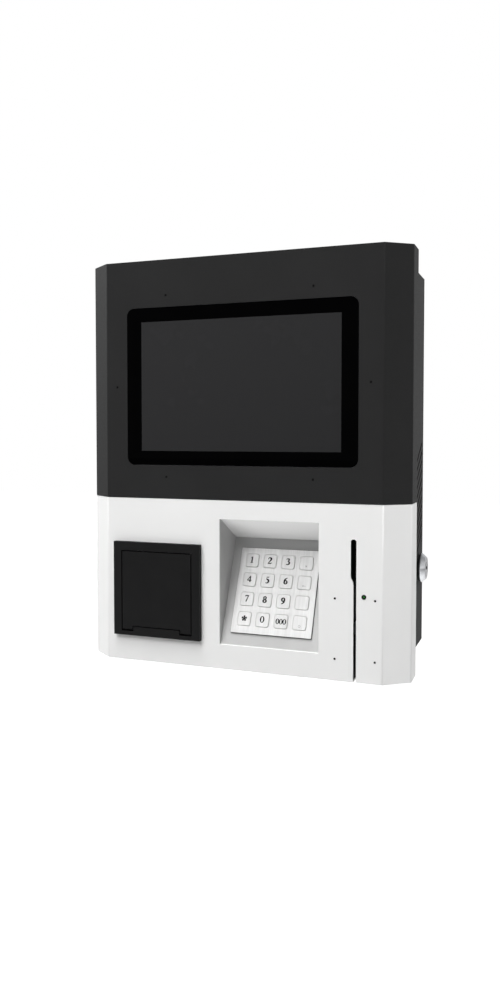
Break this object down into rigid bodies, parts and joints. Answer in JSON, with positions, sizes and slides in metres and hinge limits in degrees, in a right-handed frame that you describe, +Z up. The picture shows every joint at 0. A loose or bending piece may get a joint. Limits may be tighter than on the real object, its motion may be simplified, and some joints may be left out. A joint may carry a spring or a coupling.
{
  "type": "self-service kiosk",
  "caption": "Wall-mounted self-service kiosk with a touch display, sunk steel keypad, receipt printer, card swipe slot and a lockable hinged front.",
  "frame": {"origin": "middle of the four 100 mm wall holes, on the rear face that lies against the wall", "axes": "+X to the customer's right when facing the kiosk, +Y backwards into the wall, +Z up"},
  "size_m": [0.35, 0.155, 0.425],
  "materials": {
    "black_paint": "black powder coat, fine texture, half matt",
    "white_paint": "white powder coat, fine texture, half matt",
    "zinc_steel": "zinc-plated or plain steel",
    "lock_chrome": "bright plating",
    "black_rubber": "matt",
    "screen_glass": "clear glass with a black printed border, shown dark",
    "panel_frame": "dark",
    "circuit_board": "green solder resist",
    "bare_aluminium": "plain",
    "keypad_steel": "brushed up and down",
    "black_plastic": "fine moulded texture",
    "gear_plastic": "natural",
    "receipt_paper": "white paper, stated as plastic because the list has no paper",
    "lamp_green": "green light guide"
  },
  "bodies": {
    "housing": {"rear_housing": "black_paint", "housing_seal": "black_rubber", "cable_edging": "black_rubber", "hinge_housing_leaf": "zinc_steel", "hinge_pin": "zinc_steel", "lock_gasket": "black_rubber", "lock_body": "lock_chrome", "lock_nut": "zinc_steel", "power_supply": "bare_aluminium", "main_board": "circuit_board", "heat_sink": "bare_aluminium", "board_spacers": "bare_aluminium"},
    "front_door": {"upper_cover": "black_paint", "lower_cover": "white_paint", "door_frame": "zinc_steel", "hinge_door_leaf": "zinc_steel", "latch_bracket": "zinc_steel", "touch_glass": "screen_glass", "lcd_module": "panel_frame", "lcd_bracket": "zinc_steel", "display_board": "circuit_board", "front_screws": "zinc_steel", "recess_tray": "white_paint", "pinpad_plate": "keypad_steel", "pinpad_housing": "black_plastic", "pinpad_board": "circuit_board", "printer_bezel": "black_plastic", "printer_body": "black_plastic", "print_head": "zinc_steel", "tear_bar": "zinc_steel", "printer_hinge_pin": "zinc_steel", "printer_motor": "black_plastic", "card_reader_body": "black_plastic", "magnetic_head": "zinc_steel", "reader_board": "circuit_board", "lamp_ring": "black_plastic", "lamp_lens": "lamp_green"},
    "lock_cylinder": {"lock_plug": "lock_chrome", "lock_cam": "zinc_steel"},
    "printer_flap": {"printer_door": "black_plastic"},
    "platen": {"platen_roller": "black_rubber", "platen_shaft": "zinc_steel"},
    "printer_drive": {"drive_gear": "gear_plastic"},
    "receipt_roll": {"paper_roll": "receipt_paper"},
    "key_1_body": {"key_1": "keypad_steel"},
    "key_2_body": {"key_2": "keypad_steel"},
    "key_3_body": {"key_3": "keypad_steel"},
    "key_top_right_body": {"key_top_right": "keypad_steel"},
    "key_4_body": {"key_4": "keypad_steel"},
    "key_5_body": {"key_5": "keypad_steel"},
    "key_6_body": {"key_6": "keypad_steel"},
    "key_upper_right_body": {"key_upper_right": "keypad_steel"},
    "key_7_body": {"key_7": "keypad_steel"},
    "key_8_body": {"key_8": "keypad_steel"},
    "key_9_body": {"key_9": "keypad_steel"},
    "key_lower_right_body": {"key_lower_right": "keypad_steel"},
    "key_star_body": {"key_star": "keypad_steel"},
    "key_0_body": {"key_0": "keypad_steel"},
    "key_triple_0_body": {"key_triple_0": "keypad_steel"},
    "key_bottom_right_body": {"key_bottom_right": "keypad_steel"}
  },
  "joints": [
    {"name": "front_door_hinge", "type": "hinge", "parent": "housing", "child": "front_door", "pos_m": [-0.17, -0.1, 0], "axis": [0, 0, -1], "range_deg": [0, 110]},
    {"name": "lock_turn", "type": "hinge", "parent": "housing", "child": "lock_cylinder", "pos_m": [0.165, -0.026, -0.1153], "axis": [1, 0, 0], "range_deg": [0, 90]},
    {"name": "printer_door_hinge", "type": "hinge", "parent": "front_door", "child": "printer_flap", "pos_m": [-0.0902, -0.1529, -0.1774], "axis": [1, 0, 0], "range_deg": [0, 90]},
    {"name": "platen_turn", "type": "hinge", "parent": "printer_flap", "child": "platen", "pos_m": [-0.0902, -0.144, -0.101], "axis": [1, 0, 0], "continuous": true},
    {"name": "drive_gear_turn", "type": "hinge", "parent": "front_door", "child": "printer_drive", "pos_m": [-0.0552, -0.1294, -0.101], "axis": [1, 0, 0], "continuous": true},
    {"name": "paper_roll_turn", "type": "hinge", "parent": "front_door", "child": "receipt_roll", "pos_m": [-0.0902, -0.113, -0.146], "axis": [1, 0, 0], "continuous": true},
    {"name": "key_1_press", "type": "slide", "parent": "front_door", "child": "key_1_body", "axis": [0, 0.9191, -0.3939], "range_m": [0, 0.0015], "stiffness_N_per_m": 300, "springref_m": -0.0015},
    {"name": "key_2_press", "type": "slide", "parent": "front_door", "child": "key_2_body", "axis": [0, 0.9191, -0.3939], "range_m": [0, 0.0015], "stiffness_N_per_m": 300, "springref_m": -0.0015},
    {"name": "key_3_press", "type": "slide", "parent": "front_door", "child": "key_3_body", "axis": [0, 0.9191, -0.3939], "range_m": [0, 0.0015], "stiffness_N_per_m": 300, "springref_m": -0.0015},
    {"name": "key_top_right_press", "type": "slide", "parent": "front_door", "child": "key_top_right_body", "axis": [0, 0.9191, -0.3939], "range_m": [0, 0.0015], "stiffness_N_per_m": 300, "springref_m": -0.0015},
    {"name": "key_4_press", "type": "slide", "parent": "front_door", "child": "key_4_body", "axis": [0, 0.9191, -0.3939], "range_m": [0, 0.0015], "stiffness_N_per_m": 300, "springref_m": -0.0015},
    {"name": "key_5_press", "type": "slide", "parent": "front_door", "child": "key_5_body", "axis": [0, 0.9191, -0.3939], "range_m": [0, 0.0015], "stiffness_N_per_m": 300, "springref_m": -0.0015},
    {"name": "key_6_press", "type": "slide", "parent": "front_door", "child": "key_6_body", "axis": [0, 0.9191, -0.3939], "range_m": [0, 0.0015], "stiffness_N_per_m": 300, "springref_m": -0.0015},
    {"name": "key_upper_right_press", "type": "slide", "parent": "front_door", "child": "key_upper_right_body", "axis": [0, 0.9191, -0.3939], "range_m": [0, 0.0015], "stiffness_N_per_m": 300, "springref_m": -0.0015},
    {"name": "key_7_press", "type": "slide", "parent": "front_door", "child": "key_7_body", "axis": [0, 0.9191, -0.3939], "range_m": [0, 0.0015], "stiffness_N_per_m": 300, "springref_m": -0.0015},
    {"name": "key_8_press", "type": "slide", "parent": "front_door", "child": "key_8_body", "axis": [0, 0.9191, -0.3939], "range_m": [0, 0.0015], "stiffness_N_per_m": 300, "springref_m": -0.0015},
    {"name": "key_9_press", "type": "slide", "parent": "front_door", "child": "key_9_body", "axis": [0, 0.9191, -0.3939], "range_m": [0, 0.0015], "stiffness_N_per_m": 300, "springref_m": -0.0015},
    {"name": "key_lower_right_press", "type": "slide", "parent": "front_door", "child": "key_lower_right_body", "axis": [0, 0.9191, -0.3939], "range_m": [0, 0.0015], "stiffness_N_per_m": 300, "springref_m": -0.0015},
    {"name": "key_star_press", "type": "slide", "parent": "front_door", "child": "key_star_body", "axis": [0, 0.9191, -0.3939], "range_m": [0, 0.0015], "stiffness_N_per_m": 300, "springref_m": -0.0015},
    {"name": "key_0_press", "type": "slide", "parent": "front_door", "child": "key_0_body", "axis": [0, 0.9191, -0.3939], "range_m": [0, 0.0015], "stiffness_N_per_m": 300, "springref_m": -0.0015},
    {"name": "key_triple_0_press", "type": "slide", "parent": "front_door", "child": "key_triple_0_body", "axis": [0, 0.9191, -0.3939], "range_m": [0, 0.0015], "stiffness_N_per_m": 300, "springref_m": -0.0015},
    {"name": "key_bottom_right_press", "type": "slide", "parent": "front_door", "child": "key_bottom_right_body", "axis": [0, 0.9191, -0.3939], "range_m": [0, 0.0015], "stiffness_N_per_m": 300, "springref_m": -0.0015}
  ],
  "couplings": [
    {"joint": "drive_gear_turn", "follows": "platen_turn", "ratio": -0.5}
  ]
}
